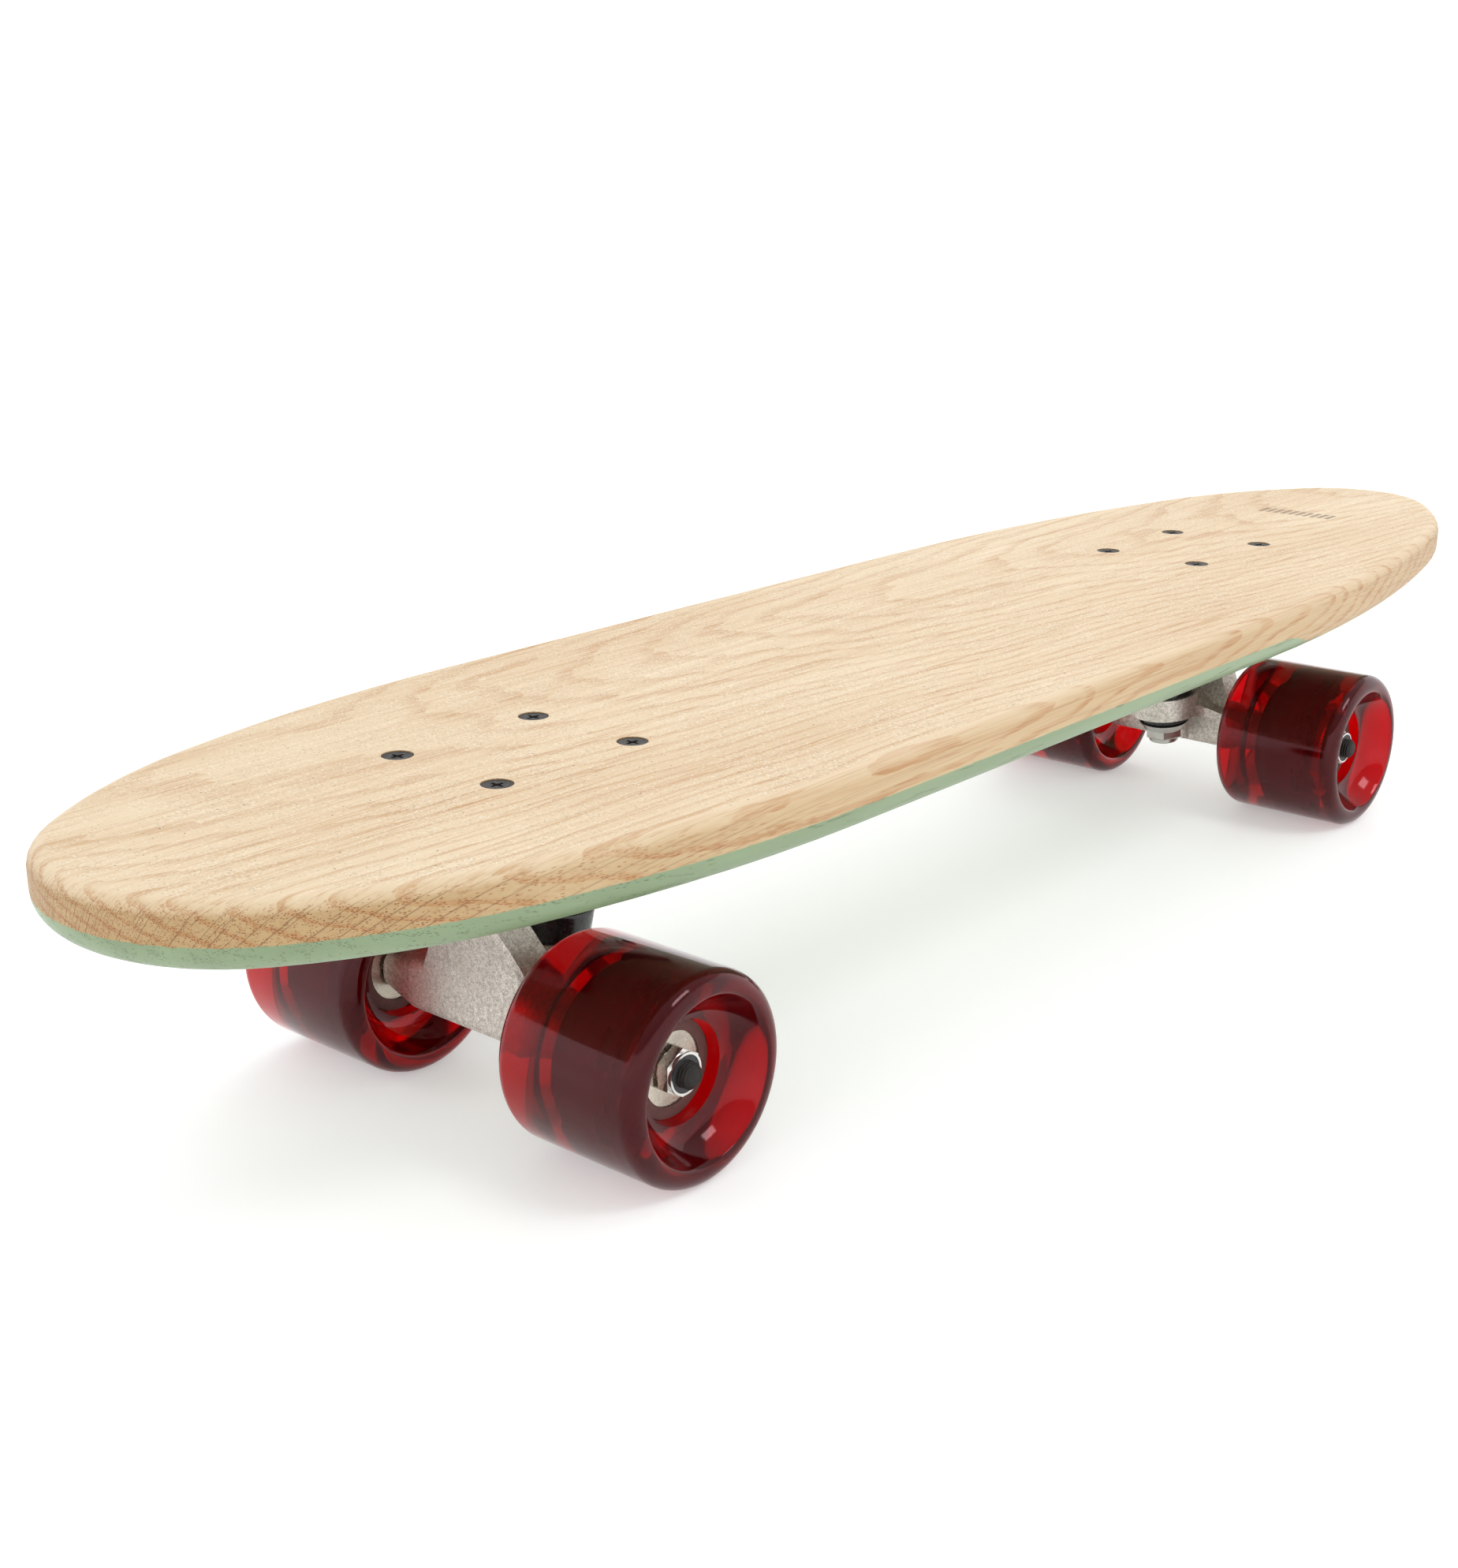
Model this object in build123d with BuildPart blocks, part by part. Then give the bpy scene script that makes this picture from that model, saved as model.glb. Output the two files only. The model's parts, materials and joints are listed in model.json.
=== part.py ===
"""Skateboard: solid oak deck, two trucks and four soft wheels, as separate named pieces.

Millimetres. Origin at the middle of the footprint on the ground, +X towards the nose,
+Y to the rider's left, +Z up. A truck is drawn once around its own bolt pattern with
its outboard side towards +X, a wheel once around its own centre with its outer side
towards +Z, and both are then placed.
"""
from math import cos, radians, sin
import os

from build123d import *

os.makedirs("parts", exist_ok=True)

# ---- deck ----
deck_length = 728.0
deck_width = 178.0
deck_thickness = 19.0
deck_top = 107.8
deck_bottom = deck_top - deck_thickness
nose_run = 198.9
nose_tip_r = 58.2
nose_turns = (54.2, 76.1)
tail_run = 275.6
tail_tip_r = 39.4
tail_turns = (52.5, 75.9)
top_round = 5.0
bottom_round = 9.0

# ---- truck bolt pattern and deck hardware (No. 10 screws) ----
front_truck_x = 215.2
rear_truck_x = -174.2
bolt_spacing_x = 54.0
bolt_spacing_y = 41.3
bolt_r = 2.4
bolt_hole_r = 2.55
bolt_head_r = 4.7
bolt_head_drop = 0.3
bolt_head_h = 2.7
bolt_length = 38.0
deck_nut_flats = 9.5
deck_nut_h = 5.5

# ---- riser and baseplate ----
riser_t = 6.0
plate_t = 5.0
plate_length = 80.0
plate_width = 56.0
plate_top = deck_bottom - riser_t
plate_bottom = plate_top - plate_t

# ---- steering geometry, in the truck's own X and Z ----
axle_x = 10.5
axle_z = 31.5
ring_x = -9.2
ring_z = 42.9
pivot_x = 23.0
pivot_z = 72.8
kingpin_tilt = -7.5

# ---- kingpin stack, distances along the kingpin from the ring's centre ----
ring_half = 4.8
ring_outer_r = 14.3
ring_bore_r = 6.6
kingpin_r = 4.76
upper_bushing_top = 14.7
upper_bushing_r = 13.3
upper_bushing_spread = 0.8
boss_seat = 16.2
lower_bushing_end = -10.9
lower_bushing_r = 10.6
cup_rim = -8.9
cup_rim_r = 10.3
lower_washer_end = -12.1
kingpin_nut_end = -18.1
kingpin_nut_flats = 14.3
kingpin_collar_h = 2.0
kingpin_collar_r = 6.1
kingpin_end = -18.6
kingpin_head_seat = 33.3
kingpin_head_r = 7.9
kingpin_head_h = 5.0

# ---- pivot ----
nose_r = 5.0
nose_root = 13.0
pivot_gap = 0.05
cup_r = 7.6
mouth_drop = 6.0
socket_r = 10.0

# ---- hanger ----
beam = 17.0
beam_round = 4.0
beam_half_length = 30.0
hanger_half_length = 44.2
arm_half_width = 24.4
arm_foot = 36.0
arm_shoulder = 61.1

# ---- axle and its hardware (8 mm) ----
axle_r = 3.97
axle_half_length = 78.0
axle_nut_flats = 12.7
axle_nut_h = 4.8
speed_washer_t = 0.8
speed_washer_r = 5.8

# ---- wheel ----
wheel_r = 31.5
wheel_half = 26.5
wheel_y = 57.0
edge_round = 5.0
lip_r = 24.4
step_r = 15.4
step_w = 15.4
core_ring_r = 14.5
core_half = 12.5
core_band_r = 19.6
core_band_half = 9.5
core_notch_depth = 4.0
core_notch_width = 9.6
core_notches = 6

# ---- 608 bearing ----
bearing_bore_r = 4.0
bearing_r = 11.0
bearing_w = 7.0
bearing_face = 12.0
inner_land_r = 6.1
outer_land_r = 8.9
ball_r = 1.985
ball_pitch_r = 7.5
ball_count = 7
groove_gap = 0.06
shield_t = 0.35

# ---- frames shared by the pieces of a truck ----
tilt = radians(kingpin_tilt)
kingpin_up = Vector(sin(tilt), 0, cos(tilt))
kingpin_frame = Plane(origin=(ring_x, 0, ring_z), x_dir=(0, 1, 0), z_dir=kingpin_up)
kingpin_line = Axis((ring_x, 0, ring_z), kingpin_up)
steer_normal = kingpin_frame.x_dir.cross(kingpin_up)
steer_up = Vector(pivot_x - ring_x, 0, pivot_z - ring_z).normalized()
steer_frame = Plane(origin=(pivot_x, 0, pivot_z), x_dir=(0, 1, 0), z_dir=steer_up)
sites = {
    "front": Location((front_truck_x, 0, 0)),
    "rear": Location((rear_truck_x, 0, 0), (0, 0, 180)),
}


def along(frame, distance):
    """The frame moved along its own normal."""
    return frame.offset(distance)


def ring_of(frame, start, end, outer_r, inner_r):
    """A plain tube along a frame's normal."""
    with BuildPart() as tube:
        with BuildSketch(along(frame, start)):
            Circle(outer_r)
            Circle(inner_r, mode=Mode.SUBTRACT)
        extrude(amount=end - start)
    return tube.part


def placed(shapes, places, label):
    """One named piece: every shape at every place, written to its own file."""
    with BuildPart() as piece:
        with Locations(*places):
            add(shapes)
    piece.part.label = label
    export_step(piece.part, f"parts/{label}.step")


def end_radii(tip_r, turns, run):
    """The two further radii that bring a three-arc end to the full width in its run."""
    a, b = (radians(turn) for turn in turns)
    side_left = deck_width / 2 - tip_r * sin(a)
    run_left = run - tip_r * (1 - cos(a))
    m = (sin(b) - sin(a), 1 - sin(b), cos(a) - cos(b), cos(b))
    det = m[0] * m[3] - m[1] * m[2]
    shoulder_r = (side_left * m[3] - m[1] * run_left) / det
    flank_r = (m[0] * run_left - m[2] * side_left) / det
    return tip_r, shoulder_r, flank_r


def end_arcs(tip_x, tip_r, turns, run):
    """Tangent arcs from the deck's tip to the start of its straight side."""
    way = 1 if tip_x > 0 else -1
    starts = (0, *turns)
    ends = (*turns, 90)
    point = Vector(tip_x, 0)
    heading = Vector(0, 1)
    for radius, start, end in zip(end_radii(tip_r, turns, run), starts, ends):
        arc = JernArc(point, heading, radius, way * (end - start))
        point = arc @ 1
        heading = arc % 1
    return point


# ================= deck =================
bolt_grid = [
    (x + i * bolt_spacing_x / 2, j * bolt_spacing_y / 2)
    for x in (front_truck_x, rear_truck_x)
    for i in (-1, 1)
    for j in (-1, 1)
]
head_drop_z = deck_top - bolt_head_drop

with BuildPart() as deck:
    with BuildSketch(Plane.XY.offset(deck_bottom)):
        with BuildLine():
            nose_end = end_arcs(deck_length / 2, nose_tip_r, nose_turns, nose_run)
            tail_end = end_arcs(-deck_length / 2, tail_tip_r, tail_turns, tail_run)
            Line(nose_end, tail_end)
            Line((-deck_length / 2, 0), (deck_length / 2, 0))
        make_face()
        mirror(about=Plane.XZ)
    extrude(amount=deck_thickness)
    fillet(deck.faces().sort_by(Axis.Z)[-1].edges(), top_round)
    fillet(deck.faces().sort_by(Axis.Z)[0].edges(), bottom_round)
    with Locations(*[(x, y, deck_bottom - 1) for x, y in bolt_grid]):
        Cylinder(
            bolt_hole_r,
            deck_thickness + 2,
            align=(Align.CENTER, Align.CENTER, Align.MIN),
            mode=Mode.SUBTRACT,
        )
    with Locations(*[(x, y, head_drop_z - bolt_head_h) for x, y in bolt_grid]):
        Cone(
            bolt_r + 0.05,
            bolt_head_r + 0.05,
            bolt_head_h,
            align=(Align.CENTER, Align.CENTER, Align.MIN),
            mode=Mode.SUBTRACT,
        )
    with Locations(*[(x, y, head_drop_z) for x, y in bolt_grid]):
        Cylinder(
            bolt_head_r + 0.05,
            bolt_head_drop + 1,
            align=(Align.CENTER, Align.CENTER, Align.MIN),
            mode=Mode.SUBTRACT,
        )
deck.part.label = "deck"
export_step(deck.part, "parts/deck.step")

# ================= deck hardware =================
with BuildPart() as deck_bolt:
    with BuildSketch(Plane.XZ):
        with BuildLine():
            Polyline(
                (0, head_drop_z),
                (bolt_head_r, head_drop_z),
                (bolt_r, head_drop_z - bolt_head_h),
                (bolt_r, head_drop_z - bolt_length + 0.6),
                (bolt_r - 0.6, head_drop_z - bolt_length),
                (0, head_drop_z - bolt_length),
                close=True,
            )
        make_face()
    revolve(axis=Axis.Z)
    with BuildSketch(Plane.XY.offset(head_drop_z)):
        Rectangle(4.6, 1.1)
        Rectangle(1.1, 4.6)
        Circle(1.1)
    extrude(amount=-1.8, taper=12, mode=Mode.SUBTRACT)

with BuildPart() as deck_nut:
    with BuildSketch(Plane.XY.offset(plate_bottom - deck_nut_h)):
        RegularPolygon(deck_nut_flats / 2, 6, major_radius=False)
        Circle(bolt_r + 0.05, mode=Mode.SUBTRACT)
    extrude(amount=deck_nut_h)
    rim = deck_nut.faces().sort_by(Axis.Z)[0]
    chamfer(rim.outer_wire().edges(), 0.5)

# ================= riser, baseplate and pivot cup =================
with BuildPart() as riser:
    with BuildSketch(Plane.XY.offset(plate_top)):
        RectangleRounded(plate_length + 2, plate_width + 2, 8)
        with GridLocations(bolt_spacing_x, bolt_spacing_y, 2, 2):
            Circle(bolt_hole_r, mode=Mode.SUBTRACT)
    extrude(amount=riser_t)

with BuildPart() as baseplate:
    with BuildSketch(Plane.XY.offset(plate_bottom)):
        RectangleRounded(plate_length, plate_width, 7)
    extrude(amount=plate_t)
    chamfer(baseplate.faces().sort_by(Axis.Z)[0].edges(), 1.2)
    with BuildSketch(along(kingpin_frame, boss_seat)):
        Circle(12.2)
    extrude(amount=kingpin_head_seat - boss_seat + 2, taper=-4)
    with BuildSketch(along(steer_frame, -mouth_drop)):
        Circle(socket_r)
    extrude(amount=mouth_drop + 14)
    with BuildSketch(Plane.XZ.offset(-4)):
        with BuildLine():
            Polyline(
                (ring_x + 2, 64),
                (pivot_x - 11.4, 75.3),
                (pivot_x, plate_bottom + 1),
                (ring_x - 12, plate_bottom + 1),
                close=True,
            )
        make_face()
    extrude(amount=8)
    for rib_side in (-1, 1):
        with BuildSketch(Plane.YZ.offset(ring_x - 8)):
            with BuildLine():
                Polyline(
                    (rib_side * 8, 66),
                    (rib_side * 24, plate_bottom + 1),
                    (rib_side * 8, plate_bottom + 1),
                    close=True,
                )
            make_face()
        extrude(amount=6)
    with Locations((0, 0, plate_top)):
        Box(
            200,
            200,
            60,
            align=(Align.CENTER, Align.CENTER, Align.MIN),
            mode=Mode.SUBTRACT,
        )
    with Locations((plate_length / 2, 0, plate_bottom)):
        Box(
            30,
            100,
            60,
            align=(Align.MIN, Align.CENTER, Align.CENTER),
            mode=Mode.SUBTRACT,
        )
    with BuildSketch(Plane.XY.offset(plate_bottom - 1)):
        with GridLocations(bolt_spacing_x, bolt_spacing_y, 2, 2):
            Circle(bolt_hole_r)
    extrude(amount=plate_t + 2, mode=Mode.SUBTRACT)
    with BuildSketch(along(kingpin_frame, boss_seat - 1)):
        Circle(kingpin_r + 0.04)
    extrude(amount=60, mode=Mode.SUBTRACT)
    with BuildSketch(along(kingpin_frame, kingpin_head_seat)):
        Circle(kingpin_head_r + 0.05)
    extrude(amount=20, mode=Mode.SUBTRACT)
    with Locations((pivot_x, 0, pivot_z)):
        Sphere(cup_r, mode=Mode.SUBTRACT)
    with BuildSketch(along(steer_frame, -mouth_drop - 1)):
        Circle(cup_r)
    extrude(amount=mouth_drop + 1, mode=Mode.SUBTRACT)

with BuildPart() as pivot_cup:
    with Locations((pivot_x, 0, pivot_z)):
        Sphere(cup_r)
    with BuildSketch(along(steer_frame, -mouth_drop)):
        Circle(cup_r)
    extrude(amount=mouth_drop)
    with BuildSketch(along(steer_frame, -mouth_drop)):
        Circle(2 * cup_r)
    extrude(amount=-2 * cup_r, mode=Mode.SUBTRACT)
    with Locations((pivot_x, 0, pivot_z)):
        Sphere(nose_r + pivot_gap, mode=Mode.SUBTRACT)
    with BuildSketch(along(steer_frame, -mouth_drop - 1)):
        Circle(nose_r + pivot_gap)
    extrude(amount=mouth_drop + 1, mode=Mode.SUBTRACT)

# ================= kingpin stack =================
with BuildPart() as kingpin:
    with BuildSketch(along(kingpin_frame, kingpin_end)):
        Circle(kingpin_r)
    extrude(amount=kingpin_head_seat - kingpin_end)
    lowest = kingpin.faces().sort_by(Axis.Z)[0]
    chamfer(lowest.edges(), 0.9)
    with BuildSketch(along(kingpin_frame, kingpin_head_seat)):
        Circle(kingpin_head_r)
    extrude(amount=kingpin_head_h)

with BuildPart() as kingpin_nut:
    with BuildSketch(along(kingpin_frame, kingpin_nut_end + kingpin_collar_h)):
        RegularPolygon(kingpin_nut_flats / 2, 6, major_radius=False)
    extrude(amount=lower_washer_end - kingpin_nut_end - kingpin_collar_h)
    lowest = kingpin_nut.faces().sort_by(Axis.Z)[0]
    chamfer(lowest.edges(), 0.8)
    with BuildSketch(along(kingpin_frame, kingpin_nut_end)):
        Circle(kingpin_collar_r)
    extrude(amount=kingpin_collar_h)
    lowest = kingpin_nut.faces().sort_by(Axis.Z)[0]
    fillet(lowest.edges(), 0.6)
    with BuildSketch(along(kingpin_frame, kingpin_nut_end - 1)):
        Circle(kingpin_r + 0.04)
    extrude(amount=12, mode=Mode.SUBTRACT)

with BuildPart() as upper_bushing:
    with BuildSketch(along(kingpin_frame, ring_half)):
        Circle(upper_bushing_r)
    with BuildSketch(along(kingpin_frame, upper_bushing_top)):
        Circle(upper_bushing_r + upper_bushing_spread)
    loft()
    ends = upper_bushing.faces().sort_by(Axis.Z)
    fillet(ends[0].edges() + ends[-1].edges(), 1.2)
    with BuildSketch(along(kingpin_frame, ring_half - 1)):
        Circle(kingpin_r + 0.1)
    extrude(amount=upper_bushing_top, mode=Mode.SUBTRACT)

stack_section = Plane(origin=(ring_x, 0, ring_z), x_dir=kingpin_frame.x_dir, z_dir=steer_normal)

with BuildPart() as lower_bushing:
    with BuildSketch(stack_section):
        with BuildLine():
            Polyline(
                (kingpin_r + 0.1, lower_bushing_end),
                (kingpin_r + 0.1, -ring_half),
                (lower_bushing_r, -ring_half),
                (lower_bushing_r, -ring_half - 0.9),
            )
            Spline(
                (lower_bushing_r, -ring_half - 0.9),
                (cup_rim_r - 0.9, cup_rim),
                (cup_rim_r - 2.7, lower_bushing_end),
                tangents=[(0, -1), (-1, -1)],
            )
            Line((cup_rim_r - 2.7, lower_bushing_end), (kingpin_r + 0.1, lower_bushing_end))
        make_face()
    revolve(axis=kingpin_line)

with BuildPart() as lower_washer:
    with BuildSketch(stack_section):
        with BuildLine():
            Polyline(
                (kingpin_r + 0.08, lower_washer_end),
                (cup_rim_r - 2.1, lower_washer_end),
                (cup_rim_r, cup_rim),
                (cup_rim_r - 0.8, cup_rim),
                (cup_rim_r - 2.5, lower_bushing_end),
                (kingpin_r + 0.08, lower_bushing_end),
                close=True,
            )
        make_face()
    revolve(axis=kingpin_line)

upper_washer = ring_of(kingpin_frame, upper_bushing_top, boss_seat, 13.2, kingpin_r + 0.08)

# ================= hanger =================
with BuildPart() as arm:
    with BuildSketch(Plane.XZ.offset(-arm_half_width)):
        with BuildLine():
            TangentArc((axle_x + beam / 2, arm_foot), (24.4, arm_shoulder), tangent=(0, 1))
            Polyline(
                (24.4, arm_shoulder),
                (13.7, 71.2),
                (4.5, 41.0),
                (4.5, arm_foot),
                (axle_x + beam / 2, arm_foot),
            )
        make_face()
    extrude(amount=2 * arm_half_width)
    with BuildSketch(Plane.YZ.offset(-20)):
        with BuildLine():
            Polyline(
                (arm_half_width, arm_foot),
                (arm_half_width, 40.0),
                (13.4, arm_shoulder),
                (9.0, 72.0),
                (-9.0, 72.0),
                (-13.4, arm_shoulder),
                (-arm_half_width, 40.0),
                (-arm_half_width, arm_foot),
                close=True,
            )
        make_face()
    extrude(amount=80, mode=Mode.INTERSECT)
    leaning = arm.faces().filter_by(GeomType.CYLINDER)[0]
    chamfer(leaning.edges().filter_by(lambda edge: abs(edge.center().Y) > 5), 1.4)

with BuildPart() as flange:
    with BuildSketch(Plane.YZ.offset(ring_x + 1)):
        with BuildLine():
            Spline((0, 47.2), (9, 46.4), (13, 43.6), (17, 41.3), (27, 38.4), (41, 34.8))
            Line((41, 34.8), (41, 32.6))
            Spline((41, 32.6), (27, 35.8), (17, 37.2), (9, 38.4), (0, 38.6))
            Line((0, 38.6), (0, 47.2))
        make_face()
        mirror(about=Plane.YZ)
    extrude(amount=axle_x - ring_x - 1)
    with BuildSketch(Plane.XY.offset(20)):
        with BuildLine():
            Polyline((ring_x + 1, 0), (ring_x + 1, 13.9))
            Spline((ring_x + 1, 13.9), (-3.2, 17.5), (-1.0, 27), (1.6, 41))
            Polyline((1.6, 41), (axle_x, 41), (axle_x, 0), (ring_x + 1, 0))
        make_face()
        mirror(about=Plane.XZ)
    extrude(amount=40, mode=Mode.INTERSECT)

with BuildPart() as hanger:
    with BuildSketch(Plane.XZ.offset(-beam_half_length)):
        with Locations((axle_x, axle_z)):
            RectangleRounded(beam, beam, beam_round)
    extrude(amount=2 * beam_half_length)
    for end_side in (-1, 1):
        with BuildSketch(Plane.XZ.offset(end_side * beam_half_length)):
            with Locations((axle_x, axle_z)):
                RectangleRounded(beam, beam, beam_round)
        with BuildSketch(Plane.XZ.offset(end_side * hanger_half_length)):
            with Locations((axle_x, axle_z)):
                RectangleRounded(13, 13, 5.5)
        loft()
    add(arm.part)
    with BuildSketch(along(kingpin_frame, -ring_half)):
        Circle(ring_outer_r)
    extrude(amount=2 * ring_half)
    add(flange.part)
    with BuildSketch(along(steer_frame, -nose_root)):
        Circle(nose_r + 1.4)
    extrude(amount=nose_root - mouth_drop - 1.2)
    with BuildSketch(along(steer_frame, -nose_root)):
        Circle(nose_r)
    extrude(amount=nose_root)
    with Locations((pivot_x, 0, pivot_z)):
        Sphere(nose_r)
    with BuildSketch(along(kingpin_frame, -20)):
        Circle(ring_bore_r)
    extrude(amount=36, mode=Mode.SUBTRACT)
    with BuildSketch(along(kingpin_frame, ring_half)):
        Circle(upper_bushing_r + 2.2)
    extrude(amount=12, mode=Mode.SUBTRACT)
    with BuildSketch(along(kingpin_frame, -ring_half)):
        Circle(lower_bushing_r + 0.9)
    extrude(amount=-20, mode=Mode.SUBTRACT)
    with BuildSketch(Plane.XZ.offset(-60)):
        with Locations((axle_x, axle_z)):
            Circle(axle_r + 0.02)
    extrude(amount=120, mode=Mode.SUBTRACT)

# ================= axle and its hardware =================
with BuildPart() as axle:
    with BuildSketch(Plane.XZ.offset(-axle_half_length)):
        with Locations((axle_x, axle_z)):
            Circle(axle_r)
    extrude(amount=2 * axle_half_length)
    tips = axle.faces().sort_by(Axis.Y)
    chamfer(tips[0].edges() + tips[-1].edges(), 0.8)

nut_start = bearing_face + speed_washer_t
insert_half = 5.6

with BuildPart() as axle_nut:
    with BuildSketch(Plane.XY.offset(nut_start)):
        RegularPolygon(axle_nut_flats / 2, 6, major_radius=False)
    extrude(amount=axle_nut_h - 1.2)
    with BuildSketch(Plane.XY.offset(nut_start + axle_nut_h - 1.2)):
        Circle(insert_half + 0.7)
    extrude(amount=1.2)
    with BuildSketch(Plane.XY.offset(nut_start)):
        Circle(axle_r + 0.03)
    extrude(amount=axle_nut_h, mode=Mode.SUBTRACT)
    with BuildSketch(Plane.XY.offset(nut_start + axle_nut_h - 2.4)):
        Circle(insert_half)
    extrude(amount=3, mode=Mode.SUBTRACT)

nut_insert = ring_of(
    Plane.XY, nut_start + axle_nut_h - 2.4, nut_start + axle_nut_h - 0.3, insert_half, axle_r + 0.03
)
outer_washer = ring_of(Plane.XY, bearing_face, nut_start, speed_washer_r, axle_r + 0.05)
inner_washer = ring_of(Plane.XY, -nut_start, -bearing_face, speed_washer_r, axle_r + 0.05)

# ================= wheel =================
with BuildPart() as core:
    with BuildSketch(Plane.XY.offset(-core_half)):
        Circle(core_ring_r)
    extrude(amount=2 * core_half)
    with BuildSketch(Plane.XY.offset(-core_band_half)):
        Circle(core_band_r)
    extrude(amount=2 * core_band_half)
    for notch_side in (-1, 1):
        with BuildSketch(Plane.XY.offset(notch_side * core_band_half)):
            with PolarLocations(core_band_r, core_notches):
                Rectangle(6.4, core_notch_width)
        extrude(amount=-notch_side * core_notch_depth, mode=Mode.SUBTRACT)
    with BuildSketch(Plane.XY.offset(-core_half - 1)):
        Circle(9.4)
    extrude(amount=2 * core_half + 2, mode=Mode.SUBTRACT)
    for seat_side in (-1, 1):
        with BuildSketch(Plane.XY.offset(seat_side * (bearing_face - bearing_w))):
            Circle(bearing_r)
        extrude(amount=seat_side * (bearing_w + 2), mode=Mode.SUBTRACT)

with BuildPart() as tyre:
    with BuildSketch(Plane.XZ):
        with BuildLine():
            Polyline(
                (core_ring_r, -step_w),
                (step_r, -step_w),
                (lip_r, -wheel_half),
                (wheel_r - edge_round, -wheel_half),
            )
            RadiusArc(
                (wheel_r - edge_round, -wheel_half), (wheel_r, edge_round - wheel_half), -edge_round
            )
            Line((wheel_r, edge_round - wheel_half), (wheel_r, wheel_half - edge_round))
            RadiusArc(
                (wheel_r, wheel_half - edge_round), (wheel_r - edge_round, wheel_half), -edge_round
            )
            Polyline(
                (wheel_r - edge_round, wheel_half),
                (lip_r, wheel_half),
                (step_r, step_w),
                (core_ring_r, step_w),
                (core_ring_r, -step_w),
            )
        make_face()
    revolve(axis=Axis.Z)
    add(core.part, mode=Mode.SUBTRACT)

# ================= bearings =================
mid = bearing_face - bearing_w / 2

with BuildPart() as inner_race:
    with BuildSketch(Plane.XY.offset(mid - bearing_w / 2)):
        Circle(inner_land_r)
        Circle(bearing_bore_r, mode=Mode.SUBTRACT)
    extrude(amount=bearing_w)
    with Locations((0, 0, mid)):
        Torus(ball_pitch_r, ball_r + groove_gap, mode=Mode.SUBTRACT)

with BuildPart() as outer_race:
    with BuildSketch(Plane.XY.offset(mid - bearing_w / 2)):
        Circle(bearing_r)
        Circle(outer_land_r, mode=Mode.SUBTRACT)
    extrude(amount=bearing_w)
    with Locations((0, 0, mid)):
        Torus(ball_pitch_r, ball_r + groove_gap, mode=Mode.SUBTRACT)
    for recess_side in (-1, 1):
        with BuildSketch(Plane.XY.offset(mid + recess_side * bearing_w / 2)):
            Circle(outer_land_r + 0.7)
        extrude(amount=-recess_side * (shield_t + 0.15), mode=Mode.SUBTRACT)

with BuildPart() as balls:
    with Locations((0, 0, mid)):
        with PolarLocations(ball_pitch_r, ball_count):
            Sphere(ball_r)

with BuildPart() as cage:
    with BuildSketch(Plane.XY.offset(mid - 2.6)):
        Circle(ball_pitch_r + 0.45)
        Circle(ball_pitch_r - 0.45, mode=Mode.SUBTRACT)
    extrude(amount=5.2)
    with Locations((0, 0, mid)):
        with PolarLocations(ball_pitch_r, ball_count):
            Cylinder(ball_r + 0.1, 3, rotation=(0, 90, 0), mode=Mode.SUBTRACT)

shield_depth = shield_t + 0.15
shields = [
    ring_of(
        Plane.XY,
        mid + face - shield_t / 2,
        mid + face + shield_t / 2,
        outer_land_r + 0.7,
        inner_land_r + 0.15,
    )
    for face in (
        bearing_w / 2 - shield_depth + shield_t / 2,
        shield_depth - shield_t / 2 - bearing_w / 2,
    )
]
spacer = ring_of(
    Plane.XY, bearing_w - bearing_face, bearing_face - bearing_w, 5.6, bearing_bore_r + 0.05
)

# ================= place everything =================
for end, site in sites.items():
    truck_bolts = [
        site * Location((i * bolt_spacing_x / 2, j * bolt_spacing_y / 2, 0))
        for i in (-1, 1)
        for j in (-1, 1)
    ]
    placed(deck_bolt.part, truck_bolts, f"{end}_deck_bolts")
    placed(deck_nut.part, truck_bolts, f"{end}_deck_nuts")
    placed(riser.part, [site], f"{end}_riser_pad")
    placed(baseplate.part, [site], f"{end}_baseplate")
    placed(pivot_cup.part, [site], f"{end}_pivot_cup")
    placed(kingpin.part, [site], f"{end}_kingpin")
    placed(kingpin_nut.part, [site], f"{end}_kingpin_nut")
    placed(upper_bushing.part, [site], f"{end}_upper_bushing")
    placed(lower_bushing.part, [site], f"{end}_lower_bushing")
    placed([upper_washer, lower_washer.part], [site], f"{end}_kingpin_washers")
    placed(hanger.part, [site], f"{end}_hanger")
    placed(axle.part, [site], f"{end}_axle")

    turn = 1 if end == "front" else -1
    wheel_sites = {}
    for side, sign in (("left", 1), ("right", -1)):
        hub = Plane(
            origin=(site.position.X + turn * axle_x, sign * wheel_y, axle_z),
            x_dir=(0, 0, 1),
            z_dir=(0, sign, 0),
        )
        wheel_sites[side] = hub.location
    hubs = list(wheel_sites.values())
    placed(axle_nut.part, hubs, f"{end}_axle_nuts")
    placed(nut_insert, hubs, f"{end}_axle_nut_inserts")
    placed([outer_washer, inner_washer], hubs, f"{end}_speed_washers")

    for side, hub_site in wheel_sites.items():
        flipped = hub_site * Location((0, 0, 0), (180, 0, 0))
        both = [hub_site, flipped]
        placed(tyre.part, [hub_site], f"{end}_{side}_tyre")
        placed(core.part, [hub_site], f"{end}_{side}_core")
        placed(outer_race.part, both, f"{end}_{side}_outer_races")
        placed(inner_race.part, both, f"{end}_{side}_inner_races")
        placed([balls.part, cage.part], both, f"{end}_{side}_balls_and_cages")
        placed(shields, both, f"{end}_{side}_shields")
        placed(spacer, [hub_site], f"{end}_{side}_bearing_spacer")
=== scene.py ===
"""The skateboard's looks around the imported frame: materials, tyres, bushings, threads,
stage, light and camera."""
import json
import math
import bmesh
import bpy
from mathutils import Matrix, Vector


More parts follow.
